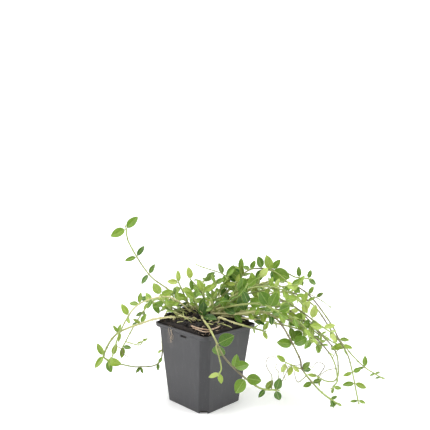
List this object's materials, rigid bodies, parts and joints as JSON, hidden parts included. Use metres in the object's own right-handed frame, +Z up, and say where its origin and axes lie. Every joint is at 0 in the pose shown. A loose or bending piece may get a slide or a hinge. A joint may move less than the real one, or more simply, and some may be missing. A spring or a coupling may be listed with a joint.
{
  "type": "potted lesser periwinkle",
  "caption": "Trailing evergreen with small opposite oval leaves on arching and hanging stems, growing in soil in a tapered square nursery pot.",
  "frame": {"origin": "centre of the pot's foot, on the surface that it stands on", "axes": "+Z up; +X along the plant's longest spread, towards the side that most runners trail to; one corner of the pot points to -Y"},
  "size_m": [0.3575, 0.1935, 0.2228],
  "materials": {
    "pot_plastic": "matte anthracite grey polypropylene, faint mould texture",
    "soil": "moist dark peat and bark compost, crumbly and fibrous",
    "leaf_dark": "old leaf, dark green, satin and waxy",
    "leaf_mid": "full-grown leaf, mid green, satin",
    "leaf_light": "young leaf, bright yellow-green, satin",
    "root_tan": "bare pale tan root, matte"
  },
  "bodies": {
    "root": {"pot": "pot_plastic", "root_ball": "soil", "tall_left": "leaf_mid", "left_straw": "leaf_mid", "left_arch": "leaf_dark", "left_loop": "leaf_mid", "left_back_drop": "leaf_dark", "front_runner": "leaf_dark", "right_top": "leaf_dark", "right_crest": "leaf_mid", "right_long": "leaf_dark", "right_fall": "leaf_mid", "right_drop_a": "leaf_mid", "right_drop_b": "leaf_light", "right_low": "leaf_dark", "over_rim_1": "leaf_mid", "over_rim_2": "leaf_mid", "over_rim_3": "leaf_dark", "right_leafy_1": "leaf_dark", "right_leafy_2": "leaf_light", "right_leafy_3": "leaf_mid", "right_leafy_4": "leaf_light", "right_leafy_5": "leaf_mid", "crest_1": "leaf_dark", "crest_2": "leaf_dark", "crest_3": "leaf_dark", "crest_4": "leaf_light", "crest_5": "leaf_mid", "crest_6": "leaf_light", "crest_7": "leaf_mid", "crest_8": "leaf_mid", "shoot_1": "leaf_mid", "shoot_2": "leaf_mid", "shoot_3": "leaf_light", "shoot_4": "leaf_light", "shoot_5": "leaf_mid", "shoot_6": "leaf_light", "shoot_7": "leaf_mid", "shoot_8": "leaf_dark", "shoot_9": "leaf_mid", "shoot_10": "leaf_mid", "shoot_11": "leaf_light", "shoot_12": "leaf_dark", "shoot_13": "leaf_mid", "back_fall_1": "leaf_mid", "back_fall_2": "leaf_dark", "back_fall_3": "leaf_mid", "back_right_1": "leaf_dark", "back_right_2": "leaf_mid", "back_crest_1": "leaf_mid", "back_crest_2": "leaf_dark", "left_side_shoot": "leaf_light", "front_spur": "leaf_light", "right_bare_tip": "leaf_dark", "right_low_spur": "leaf_light", "surface_root_1": "root_tan", "surface_root_2": "root_tan", "surface_root_3": "root_tan", "surface_root_4": "root_tan"}
  },
  "joints": []
}
